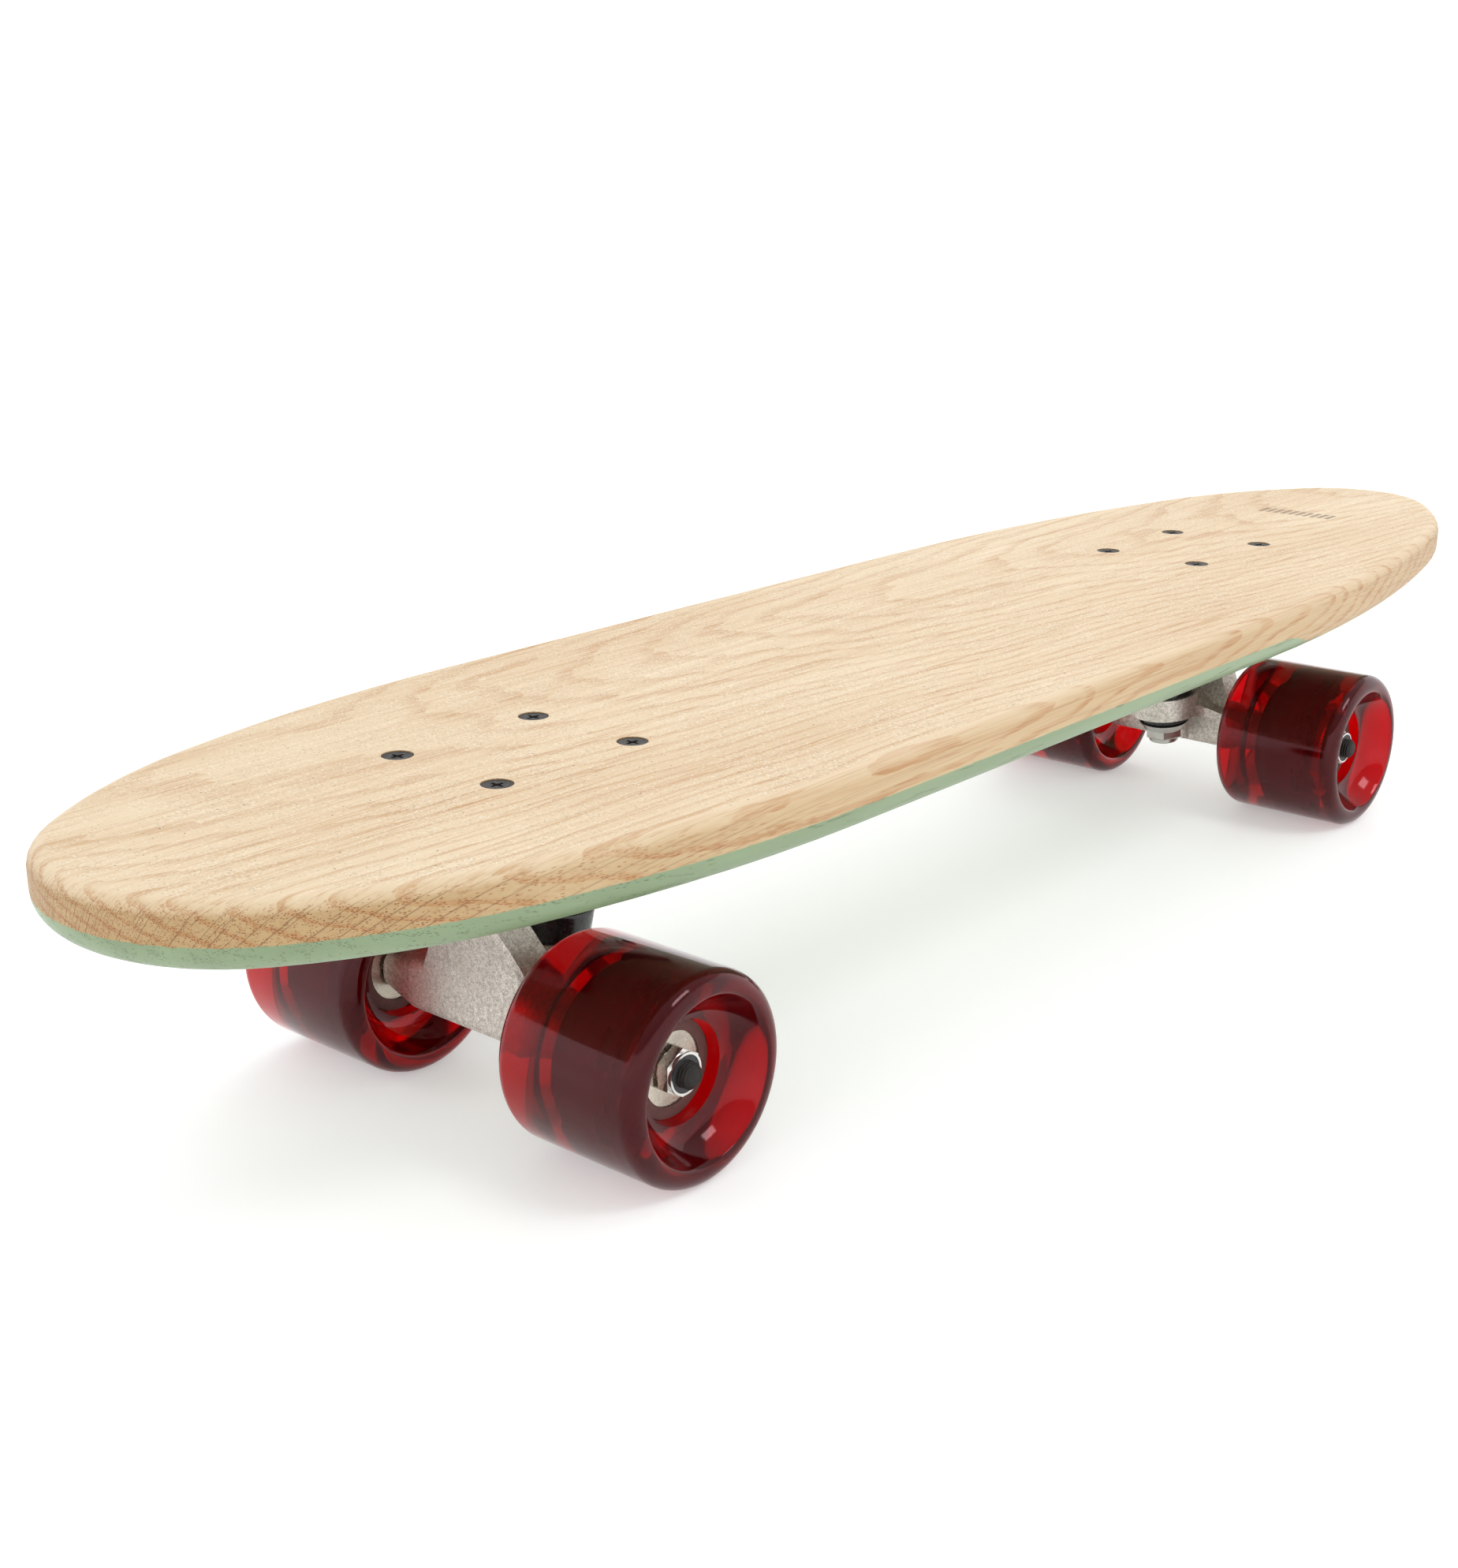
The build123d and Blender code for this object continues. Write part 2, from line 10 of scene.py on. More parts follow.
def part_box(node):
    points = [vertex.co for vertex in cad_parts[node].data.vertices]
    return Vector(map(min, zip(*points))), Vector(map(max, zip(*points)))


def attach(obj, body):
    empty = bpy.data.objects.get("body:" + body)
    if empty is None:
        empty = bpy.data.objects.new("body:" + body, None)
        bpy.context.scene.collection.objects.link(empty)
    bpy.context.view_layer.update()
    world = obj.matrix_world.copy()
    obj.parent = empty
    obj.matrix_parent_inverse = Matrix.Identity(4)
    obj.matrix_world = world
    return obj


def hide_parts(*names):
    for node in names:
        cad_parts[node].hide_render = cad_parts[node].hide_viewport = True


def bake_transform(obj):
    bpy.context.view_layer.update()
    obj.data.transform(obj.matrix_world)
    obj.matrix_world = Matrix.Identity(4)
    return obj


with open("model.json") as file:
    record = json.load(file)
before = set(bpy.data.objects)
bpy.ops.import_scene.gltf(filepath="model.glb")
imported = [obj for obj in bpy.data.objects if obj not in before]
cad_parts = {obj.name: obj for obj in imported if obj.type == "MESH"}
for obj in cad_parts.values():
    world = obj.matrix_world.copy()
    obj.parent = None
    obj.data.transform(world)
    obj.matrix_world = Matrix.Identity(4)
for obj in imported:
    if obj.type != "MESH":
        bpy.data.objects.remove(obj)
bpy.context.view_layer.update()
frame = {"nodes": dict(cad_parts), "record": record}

MM = 0.001
ENDS = ("front", "rear")
SIDES = ("left", "right")

# ---------------------------------------------------------------- places from the frame
deck_low, deck_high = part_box("deck")
DECK_TOP = deck_high.z
PAINT_LINE = DECK_TOP - 10.7 * MM


def middle(node):
    """The middle of a node's box."""
    low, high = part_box(node)
    return (low + high) / 2


# ---------------------------------------------------------------- node tree helper
class Look:
    """A material under construction, with short names for the nodes it uses."""

    def __init__(self, name):
        self.material = bpy.data.materials.new(name)
        self.material.use_nodes = True
        self.tree = self.material.node_tree
        self.shader = self.tree.nodes["Principled BSDF"]
        self.output = self.tree.nodes["Material Output"]
        self.place = self.node("ShaderNodeTexCoord").outputs["Object"]

    def node(self, kind, inputs=None, **settings):
        made = self.tree.nodes.new(kind)
        for key, value in settings.items():
            setattr(made, key, value)
        for key, value in (inputs or {}).items():
            self.put(made.inputs[key], value)
        return made

    def put(self, socket, value):
        if isinstance(value, bpy.types.NodeSocket):
            self.tree.links.new(value, socket)
        else:
            socket.default_value = value

    def set(self, **inputs):
        for key, value in inputs.items():
            self.put(self.shader.inputs[key.replace("_", " ")], value)

    def math(self, operation, a, b=0.0, c=0.0, clamp=False):
        made = self.node("ShaderNodeMath", operation=operation, use_clamp=clamp)
        for socket, value in zip(made.inputs, (a, b, c)):
            self.put(socket, value)
        return made.outputs[0]

    def times(self, a, b):
        return self.math("MULTIPLY", a, b)

    def scale_add(self, value, factor, added):
        return self.math("MULTIPLY_ADD", value, factor, added)

    def minus(self, a, b):
        return self.math("SUBTRACT", a, b)

    def size(self, value):
        return self.math("ABSOLUTE", value)

    def above(self, value, limit):
        return self.math("GREATER_THAN", value, limit)

    def below(self, value, limit):
        return self.math("LESS_THAN", value, limit)

    def span(self, value, low, high, to_low=0.0, to_high=1.0, smooth=False):
        """value from low..high to to_low..to_high, held at the ends."""
        made = self.node("ShaderNodeMapRange", clamp=True)
        made.interpolation_type = "SMOOTHSTEP" if smooth else "LINEAR"
        for socket, number in zip(made.inputs, (value, low, high, to_low, to_high)):
            self.put(socket, number)
        return made.outputs["Result"]

    def blend(self, amount, a, b, mode="MIX"):
        made = self.node("ShaderNodeMix", data_type="RGBA", blend_type=mode)
        self.put(made.inputs[0], amount)
        self.put(made.inputs[6], a)
        self.put(made.inputs[7], b)
        return made.outputs[2]

    def split(self, vector):
        return self.node("ShaderNodeSeparateXYZ", {0: vector}).outputs

    def join(self, x, y, z):
        return self.node("ShaderNodeCombineXYZ", {0: x, 1: y, 2: z}).outputs[0]

    def noise(self, vector, scale, detail=2.0, roughness=0.5, distortion=0.0):
        made = self.node("ShaderNodeTexNoise", {
            "Vector": vector, "Scale": scale, "Detail": detail,
            "Roughness": roughness, "Distortion": distortion,
        })
        return made.outputs[0]

    def drawn(self, stretch, detail=2.0, roughness=0.5):
        """Noise with its own scale along each of the board's axes."""
        return self.noise(self.scaled(self.place, *stretch), 1.0, detail, roughness)

    def cells(self, vector, scale, dimensions="3D"):
        made = self.node("ShaderNodeTexVoronoi", {"Vector": vector, "Scale": scale})
        made.voronoi_dimensions = dimensions
        return made.outputs

    def scaled(self, vector, x, y, z):
        made = self.node("ShaderNodeVectorMath", {0: vector, 1: (x, y, z)}, operation="MULTIPLY")
        return made.outputs[0]

    def bump(self, height, distance, strength=1.0, under=None):
        inputs = {"Height": height, "Distance": distance, "Strength": strength}
        if under is not None:
            inputs["Normal"] = under
        return self.node("ShaderNodeBump", inputs).outputs[0]


def rgb(red, green, blue):
    """A colour given as it looks on a screen, 0 to 255, in linear light."""
    linear = []
    for channel in (red, green, blue):
        c = channel / 255
        linear.append(c / 12.92 if c <= 0.04045 else ((c + 0.055) / 1.055) ** 2.4)
    return (*linear, 1.0)


# ---------------------------------------------------------------- oak
PITH_Y = -0.032
PITH_Z = 0.006
RING = 0.0034
MARK_X = -0.279
MARK_HALF_Y = 0.018
MARK_HALF_X = 0.0055
MARK_BARS_PER_M = 280.0
PORES_PER_M = 2400.0
RAYS_PER_RADIAN = 88.0
GRIT_PER_M = 1900.0
SPECKS_PER_M = 120.0
WORN_FROM_X = -0.092
WORN_FULLY_X = -0.130
WORN_DROP = 0.0060
WORN_RAGGED = 0.030


def oak_look():
    """Solid oak as one block of wood, cut by whatever surface shows: rings about a pith
    under the board, long pores in each ring's early wood, and rays out from the pith."""
    look = Look("oak_and_paint")
    x, y, z = look.split(look.place)
    nx, ny, nz = look.split(look.node("ShaderNodeNewGeometry").outputs["Normal"])
    flat = look.span(nz, 0.985, 0.999)
    edge = look.minus(1.0, look.span(nz, 0.30, 0.97))
    end_face = look.times(edge, look.span(look.size(nx), 0.02, 0.45))

    # the tree's own wander: slow along the board, and a little across it
    sway = look.minus(look.drawn((4.0, 8.0, 8.0), 3.0, 0.5), 0.5)
    wave = look.minus(look.drawn((26.0, 120.0, 120.0), 3.0, 0.6), 0.5)
    from_y = look.minus(look.scale_add(x, 0.04, y), PITH_Y)
    from_z = look.minus(look.scale_add(x, 0.07, z), PITH_Z)
    square = look.math("ADD", look.times(from_y, from_y), look.times(from_z, from_z))
    radius = look.math("SQRT", square)
    angle = look.math("ARCTAN2", from_y, from_z)
    grown = look.scale_add(sway, 0.026, radius)
    grown = look.scale_add(wave, 0.0032, grown)
    ring = look.math("FRACT", look.math("DIVIDE", grown, RING))
    early = look.times(look.span(ring, 0.0, 0.04), look.span(ring, 0.46, 0.14, smooth=True))
    band = look.times(look.span(ring, 0.0, 0.03), look.span(ring, 0.36, 0.22))

    # pores: thin tubes along the trunk, gathered in the early wood
    drift = look.minus(look.drawn((9.0, 20.0, 20.0), 1.0), 0.5)
    pore_y = look.times(look.scale_add(drift, 0.012, y), PORES_PER_M)
    pore_z = look.times(look.scale_add(drift, 0.009, z), PORES_PER_M)
    pore_cell = look.cells(look.join(pore_y, pore_z, 0.0), 1.0, "2D")
    scattered = look.scale_add(end_face, 0.30, 0.04)
    pore_odds = look.scale_add(band, 0.58, scattered)
    pore_here = look.below(look.split(pore_cell["Color"])[0], pore_odds)
    pore_run = look.noise(look.join(look.times(x, 50.0), look.times(pore_y, 0.9),
                                    look.times(pore_z, 0.9)), 1.0, 1.0)
    pores = look.times(look.span(pore_cell["Distance"], 0.42, 0.26), pore_here)
    pores = look.times(pores, look.span(pore_run, 0.40, 0.46))

    # streaks of cut pores on the flat face: long, thin and broken
    streak = look.span(look.drawn((22.0, 950.0, 950.0), 4.0, 0.62), 0.42, 0.62)
    hair = look.span(look.drawn((12.0, 1300.0, 1300.0), 2.0, 0.5), 0.44, 0.62)
    lines = look.span(look.drawn((6.0, 240.0, 240.0), 4.0, 0.6), 0.40, 0.64)

    # rays: thin straight plates that run out from the pith
    ray_angle = look.times(angle, RAYS_PER_RADIAN)
    ray_cell = look.cells(look.join(look.times(x, 24.0), ray_angle, look.times(radius, 60.0)), 1.0)
    ray_off = look.size(look.minus(ray_angle, look.split(ray_cell["Position"])[1]))
    ray_pick = look.split(ray_cell["Color"])
    ray_wide = look.scale_add(ray_pick[1], 0.06, 0.035)
    rays = look.below(ray_off, ray_wide)
    rays = look.times(rays, look.above(ray_pick[0], 0.22))

    pale = rgb(219, 199, 167)
    cream = rgb(208, 183, 147)
    tan = rgb(180, 128, 68)
    dark = rgb(128, 76, 34)

    broad = look.drawn((5.0, 16.0, 30.0), 3.0, 0.55)
    base = look.blend(look.span(broad, 0.36, 0.68), pale, cream)
    grain = look.times(early, look.scale_add(streak, 0.85, 0.15))
    grain = look.times(grain, look.scale_add(lines, 0.55, 0.45))
    colour = look.blend(look.times(grain, 0.86), base, tan)
    colour = look.blend(look.times(look.times(hair, lines), 0.60), colour, tan)
    colour = look.blend(look.times(look.times(hair, streak), 0.34), colour, rgb(240, 226, 200))

    # the rounded edge is coloured darker, most where it cuts across the trunk: partly the darker cut
    # grain, partly painted shade for the edge turning away from the light
    edge_grain_and_shade = look.times(edge, look.scale_add(end_face, 0.34, 0.60))
    colour = look.blend(edge_grain_and_shade, colour, look.blend(1.0, colour, rgb(197, 180, 146), "MULTIPLY"))
    edge_tint = look.scale_add(end_face, 0.10, 0.10)
    edge_band = look.times(look.times(band, edge), edge_tint)
    colour = look.blend(edge_band, colour, rgb(186, 122, 66))
    cut_across = look.scale_add(end_face, 0.46, look.times(edge, 0.34))
    pore_show = look.times(pores, look.math("ADD", cut_across, 0.14))
    colour = look.blend(pore_show, colour, look.blend(end_face, rgb(162, 100, 50), dark))
    ray_show = look.scale_add(end_face, 0.46, look.scale_add(edge, 0.10, 0.04))
    ray_show = look.times(rays, ray_show)
    colour = look.blend(ray_show, colour, rgb(112, 72, 40))

    # clear sand on the flat top: pale and dark grit, and a few specks
    sand = look.cells(look.place, GRIT_PER_M)
    sand_pick = look.split(sand["Color"])
    patch = look.span(look.noise(look.place, 30.0, 3.0, 0.6), 0.38, 0.66)
    white_grit = look.above(sand_pick[0], look.scale_add(patch, -0.14, 0.95))
    white_grit = look.times(white_grit, flat)
    colour = look.blend(look.times(white_grit, 0.26), colour, rgb(236, 224, 202))
    grey_grit = look.below(sand_pick[1], look.scale_add(patch, 0.10, 0.02))
    grey_grit = look.times(grey_grit, flat)
    colour = look.blend(look.times(grey_grit, 0.30), colour, rgb(140, 122, 98))
    speck = look.cells(look.place, SPECKS_PER_M, "2D")
    speck_size = look.scale_add(look.split(speck["Color"])[1], 0.022, 0.016)
    speck_on = look.below(speck["Distance"], speck_size)
    speck_some = look.above(look.split(speck["Color"])[0], 0.62)
    speck_on = look.times(look.times(speck_on, speck_some), flat)
    colour = look.blend(look.times(speck_on, 0.75), colour, rgb(84, 70, 54))

    # a plain burned-in mark of short bars near the tail
    in_x = look.span(look.size(look.minus(x, MARK_X)), MARK_HALF_X, MARK_HALF_X * 0.8)
    in_y = look.span(look.size(y), MARK_HALF_Y, MARK_HALF_Y * 0.97)
    bars = look.math("PINGPONG", look.times(y, MARK_BARS_PER_M), 0.5)
    mark = look.times(look.times(in_x, in_y), look.span(bars, 0.16, 0.24))
    colour = look.blend(look.times(look.times(mark, flat), 0.75), colour, rgb(118, 94, 66))

    # green paint under the line, worn ragged near the tail
    worn = look.span(x, WORN_FROM_X, WORN_FULLY_X, smooth=True)
    worn = look.times(worn, look.span(nz, -0.97, -0.60))
    ragged = look.minus(look.drawn((55.0, 55.0, 160.0), 4.0, 0.65), 0.44)
    wobble = look.minus(look.noise(look.place, 320.0, 2.0, 0.5), 0.5)
    drop = look.scale_add(look.times(worn, ragged), WORN_RAGGED, look.times(worn, WORN_DROP))
    line = look.minus(PAINT_LINE, drop)
    above = look.minus(look.scale_add(wobble, 0.0006, z), line)
    paint = look.span(above, 0.00014, -0.00014)
    cloud = look.span(look.drawn((14.0, 80.0, 80.0), 3.0), 0.3, 0.7)
    green = look.blend(cloud, rgb(120, 139, 106), rgb(131, 151, 116))
    pits = look.times(pores, look.above(look.drawn((30.0, 400.0, 400.0), 1.0), 0.50))
    green = look.blend(look.times(pits, 0.60), green, rgb(74, 84, 58))
    colour = look.blend(paint, colour, green)

    rough_wood = look.scale_add(streak, 0.10, 0.46)
    rough_wood = look.blend(flat, rough_wood, look.scale_add(white_grit, -0.25, 0.64))
    rough = look.blend(paint, rough_wood, look.scale_add(pits, 0.2, 0.36))
    height = look.times(pores, -0.8)
    height = look.scale_add(white_grit, 0.8, height)
    height = look.scale_add(look.noise(look.place, 2400.0, 2.0), look.times(flat, 0.7), height)
    look.set(Base_Color=colour, IOR=1.5, Roughness=rough, Normal=look.bump(height, 0.00010, 0.5))
    return look.material


# ---------------------------------------------------------------- metals and plastics
def cast_look():
    look = Look("cast_aluminium")
    grain = look.noise(look.place, 2600.0, 3.0, 0.6)
    coarse = look.noise(look.place, 700.0, 4.0, 0.6)
    blotch = look.noise(look.place, 60.0, 3.0, 0.55)
    shade = look.scale_add(grain, 0.6, look.times(coarse, 0.4))
    colour = look.blend(look.span(shade, 0.36, 0.64), rgb(150, 142, 133), rgb(244, 237, 229))
    blotches = look.times(look.span(blotch, 0.45, 0.75), 0.25)
    colour = look.blend(blotches, colour, rgb(176, 166, 154))
    look.set(Base_Color=colour, Metallic=0.80)
    look.set(Roughness=look.span(shade, 0.3, 0.7, 0.58, 0.40))
    fine = look.bump(grain, 0.00014, 0.55)
    look.set(Normal=look.bump(coarse, 0.00022, 0.35, fine))
    return look.material


def steel_look(name, tint, roughness, speck=0.12):
    look = Look(name)
    fine = look.noise(look.place, 900.0, 3.0, 0.6)
    wide = look.noise(look.place, 140.0, 3.0, 0.6)
    dull = tuple(c * 0.72 for c in tint[:3]) + (1.0,)
    look.set(Base_Color=look.blend(look.span(wide, 0.35, 0.75), tint, dull), Metallic=1.0)
    look.set(Roughness=look.span(fine, 0.3, 0.7, roughness, roughness + speck))
    look.set(Normal=look.bump(fine, 0.00004, 0.4))
    return look.material


def black_steel_look():
    look = Look("black_oxide_steel")
    fine = look.noise(look.place, 1100.0, 3.0, 0.6)
    wear = look.span(look.noise(look.place, 420.0, 4.0, 0.7), 0.60, 0.74)
    look.set(Base_Color=look.blend(look.times(wear, 0.35), rgb(34, 32, 30), rgb(104, 98, 90)))
    look.set(Metallic=look.scale_add(wear, 0.4, 0.20), Specular_IOR_Level=0.30)
    look.set(Roughness=look.span(fine, 0.3, 0.7, 0.46, 0.66))
    look.set(Normal=look.bump(fine, 0.00006, 0.5))
    return look.material


def plastic_look(name, tint, roughness, grain_scale=1400.0, depth=0.00006):
    look = Look(name)
    fine = look.noise(look.place, grain_scale, 3.0, 0.6)
    wide = look.noise(look.place, 180.0, 3.0, 0.6)
    lighter = tuple(min(1.0, c * 1.35 + 0.004) for c in tint[:3]) + (1.0,)
    look.set(Base_Color=look.blend(look.span(wide, 0.35, 0.7), tint, lighter))
    look.set(Roughness=look.span(fine, 0.3, 0.7, roughness, roughness + 0.18))
    look.set(Normal=look.bump(fine, depth, 0.5))
    return look.material


def urethane_look():
    """Cast urethane, clear and deep red, with a faint haze."""
    look = Look("red_urethane")
    haze = look.noise(look.place, 70.0, 3.0, 0.6)
    fine = look.noise(look.place, 1500.0, 2.0, 0.5)
    colour = look.blend(look.span(haze, 0.3, 0.75), rgb(206, 14, 30), rgb(192, 10, 26))
    look.set(Base_Color=colour, IOR=1.46, Transmission_Weight=0.95, Specular_IOR_Level=0.30)
    look.set(Specular_Tint=(0.80, 0.50, 0.53, 1.0))
    look.set(Roughness=look.span(haze, 0.35, 0.75, 0.06, 0.13))
    look.set(Normal=look.bump(fine, 0.00002, 0.15))
    volume = look.node("ShaderNodeVolumeAbsorption")
    volume.inputs["Color"].default_value = (0.87, 0.0, 0.03, 1.0)
    volume.inputs["Density"].default_value = 190.0
    look.tree.links.new(volume.outputs[0], look.output.inputs["Volume"])
    return look.material


OAK = oak_look()
CAST = cast_look()
ZINC = steel_look("zinc_steel", rgb(196, 194, 188), 0.28)
CHROME = steel_look("nut_chrome", rgb(226, 224, 220), 0.12, 0.08)
RACE = steel_look("bearing_steel", rgb(206, 198, 184), 0.22, 0.12)
BLACK_STEEL = black_steel_look()
RISER = plastic_look("riser_rubber", rgb(34, 36, 36), 0.50)
BUSHING = plastic_look("bushing_urethane", rgb(20, 20, 21), 0.16, 900.0, 0.00002)
CORE = plastic_look("core_nylon", rgb(78, 44, 40), 0.55)
NYLON = plastic_look("nylon_insert", rgb(44, 44, 46), 0.38)
URETHANE = urethane_look()

SLOT_LOOKS = {
    "oak": OAK,
    "riser": RISER,
    "cast_aluminium": CAST,
    "bushing": BUSHING,
    "black_steel": BLACK_STEEL,
    "zinc_steel": ZINC,
    "nut_chrome": CHROME,
    "nylon": NYLON,
    "urethane": URETHANE,
    "core": CORE,
    "bearing_steel": RACE,
}


def dress(piece, material):
    piece.data.materials.clear()
    piece.data.materials.append(material)


for part in frame["record"]["subparts"]:
    dress(frame["nodes"][part["node"]], SLOT_LOOKS[part["material_slot"]])


# ---------------------------------------------------------------- turned pieces
def new_piece(name, verts, faces, material, smooth_angle=35.0):
    mesh = bpy.data.meshes.new(name)
    mesh.from_pydata(verts, [], faces)
    mesh.validate()
    shape = bmesh.new()
    shape.from_mesh(mesh)
    bmesh.ops.recalc_face_normals(shape, faces=shape.faces)
    shape.to_mesh(mesh)
    shape.free()
    mesh.shade_smooth()
    mesh.set_sharp_from_angle(angle=math.radians(smooth_angle))
    piece = bpy.data.objects.new(name, mesh)
    bpy.context.scene.collection.objects.link(piece)
    dress(piece, material)
    return piece


def lathe(name, profile, place, material, steps=128, smooth_angle=35.0):
    """A closed (radius, height) profile turned about the place's own Z."""
    verts = []
    faces = []
    count = len(profile)
    for i in range(steps):
        turn = 2 * math.pi * i / steps
        for radius, height in profile:
            spot = Vector((radius * math.cos(turn), radius * math.sin(turn), height))
            verts.append(place @ spot)
    for i in range(steps):
        j = (i + 1) % steps
        for k in range(count):
            m = (k + 1) % count
            faces.append((i * count + k, j * count + k, j * count + m, i * count + m))
    return new_piece(name, verts, faces, material, smooth_angle)


def arc(centre, radius, start, end, steps):
    """Points of a (radius, height) arc, angles in degrees from the radial direction."""
    points = []
    for i in range(steps + 1):
        a = math.radians(start + (end - start) * i / steps)
        points.append((centre[0] + radius * math.cos(a), centre[1] + radius * math.sin(a)))
    return points


# ---------------------------------------------------------------- tyres
LIP_R = 24.4 * MM
STEP_R = 15.4 * MM
STEP_W = 15.4 * MM
CORE_RING_R = 14.5 * MM
CORE_HALF = 12.5 * MM
EDGE_ROUND = 5.0 * MM
INSIDE_CORE_R = 12.6 * MM
CORE_LAP = 0.4 * MM
LIP_ROUND = 1.7 * MM
DISH_FOOT = STEP_W + 0.9 * MM
DISH_PULL = (20.9 * MM, 17.0 * MM)


def hollow_curve(start, pull, end, steps):
    """Points after start on the curve to end that leans towards pull."""
    points = []
    for i in range(1, steps + 1):
        t = i / steps
        weights = ((1 - t) ** 2, 2 * t * (1 - t), t ** 2)
        corners = list(zip(weights, (start, pull, end)))
        points.append(tuple(sum(w * p[k] for w, p in corners) for k in range(2)))
    return points


def tyre_profile(wheel_r, half):
    """The tread, lip, dish and bore of one half, then the same mirrored."""
    side = [(wheel_r, 0.0)]
    side += arc((wheel_r - EDGE_ROUND, half - EDGE_ROUND), EDGE_ROUND, 0, 90, 12)
    side += arc((LIP_R + LIP_ROUND, half - LIP_ROUND), LIP_ROUND, 93, 138, 6)
    side += hollow_curve(side[-1], DISH_PULL, (STEP_R, DISH_FOOT), 12)
    side += [(CORE_RING_R, CORE_HALF - CORE_LAP), (INSIDE_CORE_R, CORE_HALF - CORE_LAP)]
    other = [(radius, -height) for radius, height in reversed(side[1:])]
    return side + other


def axes(centre, across, up, out):
    """A place with those three directions as its own X, Y and Z."""
    columns = Matrix((across, up, out)).transposed().to_4x4()
    return Matrix.Translation(centre) @ columns


def wheel_place(end, side):
    """The wheel's own axes: Z out along the axle, and its middle on the axle."""
    out = Vector((0, 1 if side == "left" else -1, 0))
    up = Vector((0, 0, 1))
    return axes(middle(f"{end}_{side}_tyre"), up.cross(out), up, out)


for end in ENDS:
    for side in SIDES:
        node = f"{end}_{side}_tyre"
        low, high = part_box(node)
        profile = tyre_profile((high.z - low.z) / 2, (high.y - low.y) / 2)
        tyre = lathe(f"{node}_cast", profile, wheel_place(end, side), URETHANE, 160)
        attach(tyre, f"{end}_{side}_wheel")
        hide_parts(node)

# ---------------------------------------------------------------- bushings
TILT = math.radians(7.5)
JOINTS = {joint["name"]: joint for joint in frame["record"]["behaviour"]["joints"]}
BORE_R = 4.86 * MM


def kingpin_place(end):
    """The kingpin's own axes: Z up along it, and its middle in the hanger's ring."""
    way = 1 if end == "front" else -1
    up = Vector((-way * math.sin(TILT), 0, math.cos(TILT)))
    across = Vector((0, 1, 0))
    return axes(Vector(JOINTS[f"{end}_steer"]["pos_m"]), across, up.cross(across), up)


def upper_profile(top, foot):
    """A barrel that widens a little towards the baseplate, from the ring to the washer."""
    outside = [(13.2 * MM, foot), (13.25 * MM, foot + 0.5 * MM)]
    for i in range(9):
        t = i / 8
        swell = 0.05 * math.sin(math.pi * t)
        height = foot + (1.2 + (top - foot) / MM * t - 2.4 * t) * MM
        outside.append(((13.30 + 0.74 * t + swell) * MM, height))
    outside += [(13.5 * MM, top - 0.4 * MM), (12.9 * MM, top)]
    return [(BORE_R, foot), (12.4 * MM, foot), *outside, (BORE_R, top)]


def lower_profile(top, foot):
    """A short dome that sits in the cup washer."""
    bulge = ((10.3, 0.0), (10.55, 0.3), (10.6, 1.2), (10.35, 2.4), (9.9, 3.3), (9.3, 4.1), (8.4, 5.0))
    outside = [(radius * MM, top - down * MM) for radius, down in bulge]
    return [(BORE_R, top), *outside, (7.5 * MM, foot), (BORE_R, foot)]


for end in ENDS:
    place = kingpin_place(end)
    for node, profile, fixed, moving in (
        ("upper_bushing", upper_profile(14.65 * MM, 4.85 * MM), 14.5 * MM, 5.0 * MM),
        ("lower_bushing", lower_profile(-4.85 * MM, -10.85 * MM), -9.2 * MM, -5.0 * MM),
    ):
        soft = lathe(f"{end}_{node}_cast", profile, place, BUSHING, 96, 50.0)
        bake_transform(soft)
        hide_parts(f"{end}_{node}")

# ---------------------------------------------------------------- threaded rods
THREAD_DEEP = 0.55 * MM
TIP_CHAMFER = 1.35 * MM
TIP_SLOPE = 1.2
PITCH = 1.06 * MM
THREAD_LENGTH = 6.5 * MM
ROW_GAP = 0.12 * MM


def threaded_rod(name, place, radius, rows, threads, material, steps=72):
    """A rod along the place's Z, with a helical groove between each (start, end) in threads."""
    verts = []
    faces = []
    for height in rows:
        tip = min(height - rows[0], rows[-1] - height)
        for i in range(steps):
            turn = i / steps
            groove = 0.0
            for start, end in threads:
                if start <= height <= end:
                    phase = (height / PITCH + turn) % 1.0
                    groove = THREAD_DEEP * (1 - abs(2 * phase - 1))
            here = min(radius - groove, radius - TIP_CHAMFER + TIP_SLOPE * tip)
            a = 2 * math.pi * turn
            verts.append(place @ Vector((here * math.cos(a), here * math.sin(a), height)))
    for row in range(len(rows) - 1):
        for i in range(steps):
            j = (i + 1) % steps
            low, high = row * steps, (row + 1) * steps
            faces.append((low + i, low + j, high + j, high + i))
    faces.append(tuple(range(steps)))
    faces.append(tuple(range((len(rows) - 1) * steps, len(rows) * steps)))
    return new_piece(name, verts, faces, material, 40.0)


def rows_between(stops, fine):
    """Heights from the first stop to the last, closely spaced where fine says so."""
    rows = []
    for (start, end), close in zip(zip(stops, stops[1:]), fine):
        count = max(1, round((end - start) / ROW_GAP)) if close else 1
        rows += [start + (end - start) * i / count for i in range(count)]
    return rows + [stops[-1]]


for end in ENDS:
    low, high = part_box(f"{end}_axle")
    half = (high.y - low.y) / 2
    place = axes((low + high) / 2, Vector((0, 0, 1)), Vector((1, 0, 0)), Vector((0, 1, 0)))
    thread = (half - THREAD_LENGTH, half)
    stops = (-half, -thread[0], thread[0], half)
    rows = rows_between(stops, (True, False, True))
    rod = threaded_rod(f"{end}_axle_threaded", place, (high.z - low.z) / 2, rows,
                       ((-half, -thread[0]), thread), BLACK_STEEL)
    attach(rod, f"{end}_truck")
    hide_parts(f"{end}_axle")

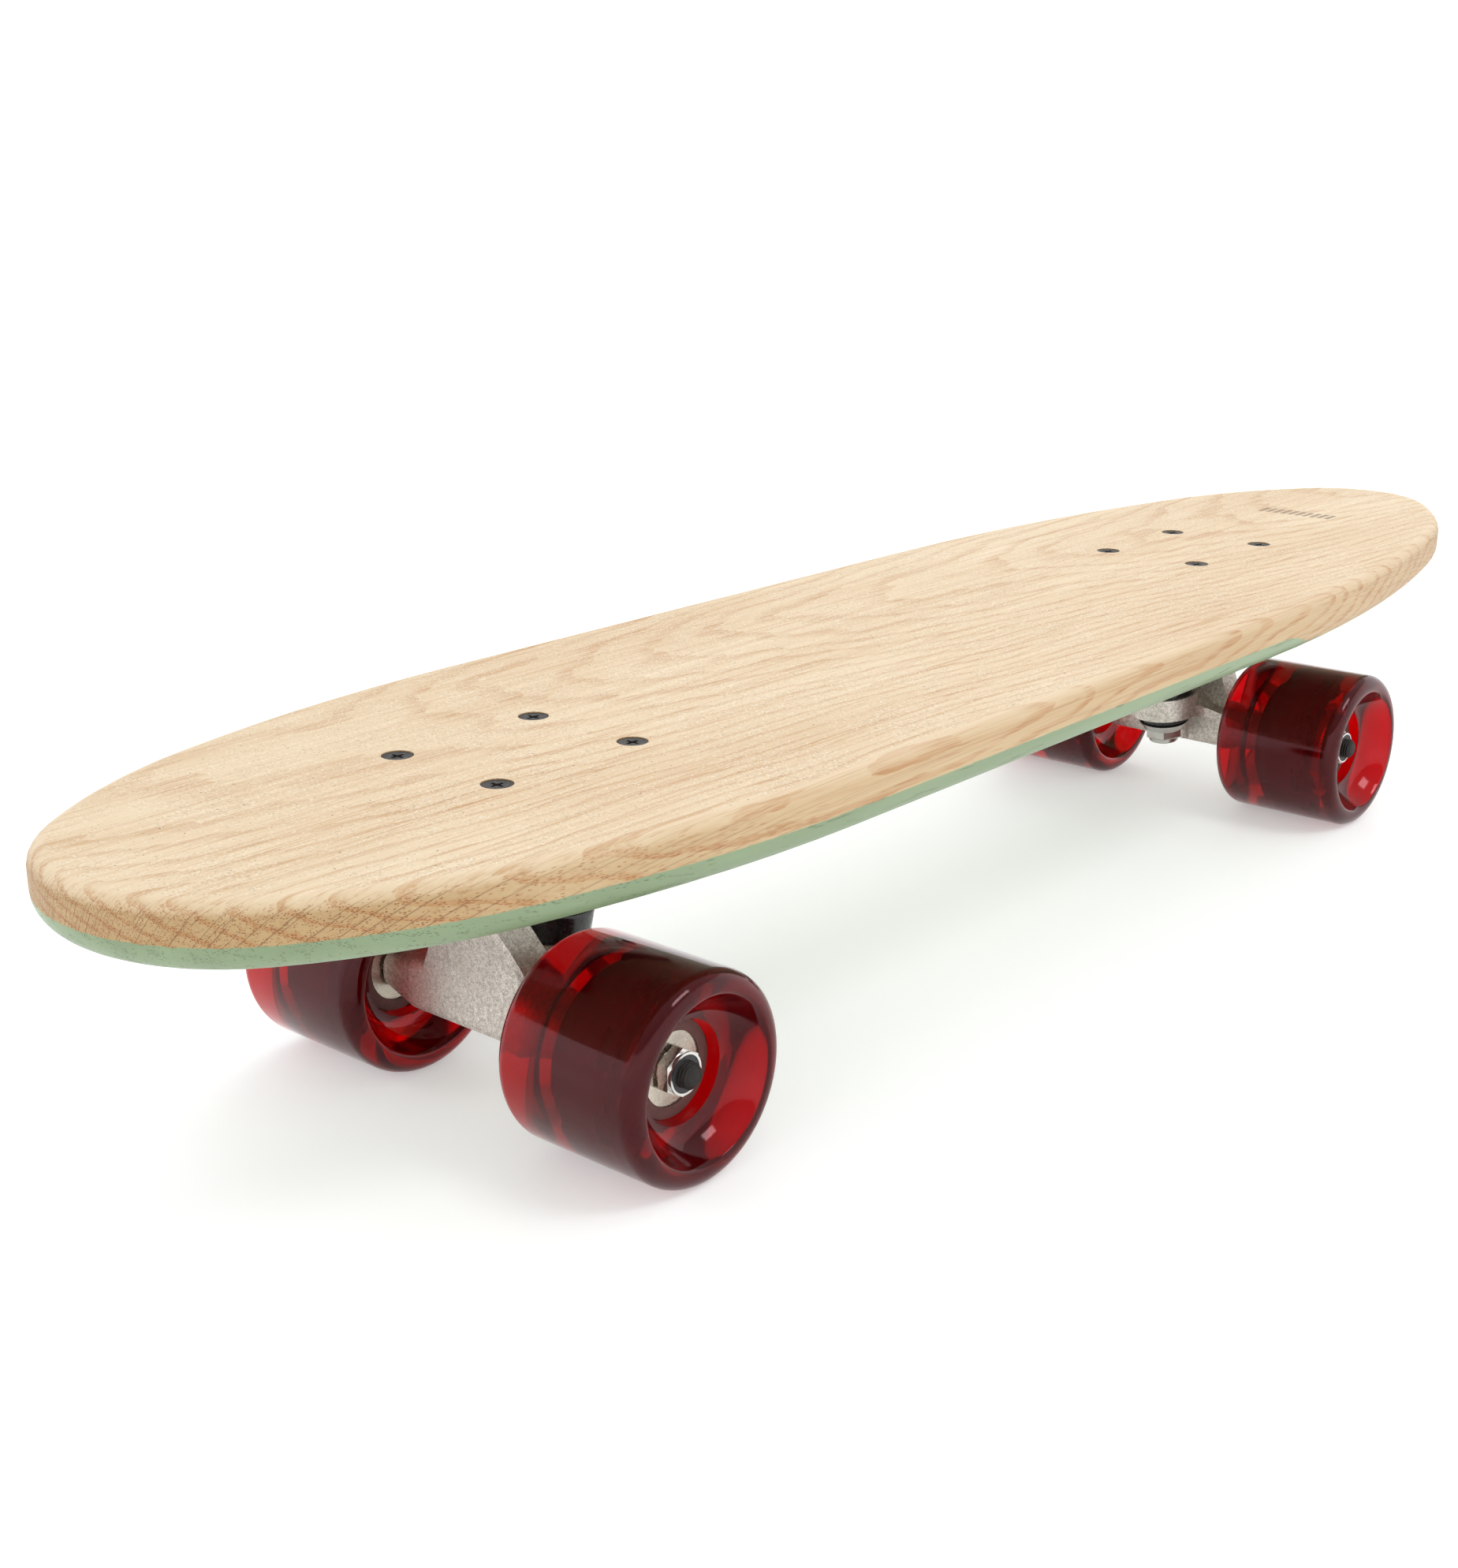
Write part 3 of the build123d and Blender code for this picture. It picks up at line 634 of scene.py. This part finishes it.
# ---------------------------------------------------------------- stage, light, camera
FLOOR_PROFILE = ((1.6, 0.0), (2.4, 0.01), (2.9, 0.12), (3.2, 0.45), (3.3, 0.95), (3.36, 2.0))
FLOOR_GLOW = (0.34, 0.64)
SKY_TOWARDS = (-0.36, -0.30, 0.88)
SKY_SPAN = (-0.35, 0.75)
SKY_STRENGTH = (0.25, 0.87)


def bowl(name, profile, steps=96):
    """A flat round floor whose rim rises along the (radius, height) profile."""
    verts = []
    faces = []
    for i in range(steps):
        turn = 2 * math.pi * i / steps
        for radius, height in profile:
            verts.append((radius * math.cos(turn), radius * math.sin(turn), height))
    count = len(profile)
    verts.append((0.0, 0.0, 0.0))
    hub = len(verts) - 1
    for i in range(steps):
        j = (i + 1) % steps
        faces.append((hub, i * count, j * count))
        for k in range(count - 1):
            faces.append((i * count + k, i * count + k + 1, j * count + k + 1, j * count + k))
    look = Look("studio_floor")
    tone = look.noise(look.place, 3.0, 2.0)
    look.set(Base_Color=look.blend(tone, rgb(232, 232, 232), rgb(236, 236, 236)), Roughness=0.7)
    height = look.split(look.place)[2]
    glow = look.span(height, 0.0, 0.5, *FLOOR_GLOW)
    look.set(Emission_Color=rgb(255, 255, 255), Emission_Strength=glow)
    return new_piece(name, verts, faces, look.material, 60.0)


floor = bowl("floor", FLOOR_PROFILE)

world = bpy.data.worlds.new("studio")
bpy.context.scene.world = world
world.use_nodes = True
sky_tree = world.node_tree
background = sky_tree.nodes["Background"]
direction = sky_tree.nodes.new("ShaderNodeTexCoord").outputs["Generated"]
lean = sky_tree.nodes.new("ShaderNodeVectorMath")
lean.operation = "DOT_PRODUCT"
sky_tree.links.new(direction, lean.inputs[0])
lean.inputs[1].default_value = SKY_TOWARDS
brightness = sky_tree.nodes.new("ShaderNodeMapRange")
sky_tree.links.new(lean.outputs["Value"], brightness.inputs["Value"])
for socket, number in zip(brightness.inputs[1:5], SKY_SPAN + SKY_STRENGTH):
    socket.default_value = number
sky_tree.links.new(brightness.outputs["Result"], background.inputs["Strength"])
background.inputs["Color"].default_value = (1.0, 1.0, 1.0, 1.0)


def soft_box(name, place, target, width, height, power):
    light = bpy.data.lights.new(name, "AREA")
    light.shape = "RECTANGLE"
    light.size = width
    light.size_y = height
    light.energy = power
    lamp = bpy.data.objects.new(name, light)
    lamp.location = place
    lamp.rotation_euler = (Vector(target) - Vector(place)).to_track_quat("-Z", "Y").to_euler()
    bpy.context.scene.collection.objects.link(lamp)


soft_box("key", (-0.3, 1.3, 1.7), (0, 0, 0.05), 0.7, 0.5, 9.0)
soft_box("back", (-1.6, -1.0, 1.5), (0, 0, 0.1), 1.4, 0.8, 8.0)
soft_box("side", (1.5, -1.2, 1.1), (0, 0, 0.05), 0.6, 0.6, 4.0)

CAMERA_PLACE = Vector((0.6153, 0.4250, 0.2819))
CAMERA_TARGET = Vector((0.2011, 0.0689, 0.1078))
CAMERA_LENS = 48.19
CAMERA_SENSOR = 36.0
camera_data = bpy.data.cameras.new("camera")
camera_data.sensor_width = CAMERA_SENSOR
camera_data.lens = CAMERA_LENS
camera_data.clip_start = 0.01
camera = bpy.data.objects.new("camera", camera_data)
camera.location = CAMERA_PLACE
camera.rotation_euler = (CAMERA_TARGET - CAMERA_PLACE).to_track_quat("-Z", "Y").to_euler()
bpy.context.scene.collection.objects.link(camera)
bpy.context.scene.camera = camera
bpy.context.scene.view_settings.view_transform = "Standard"
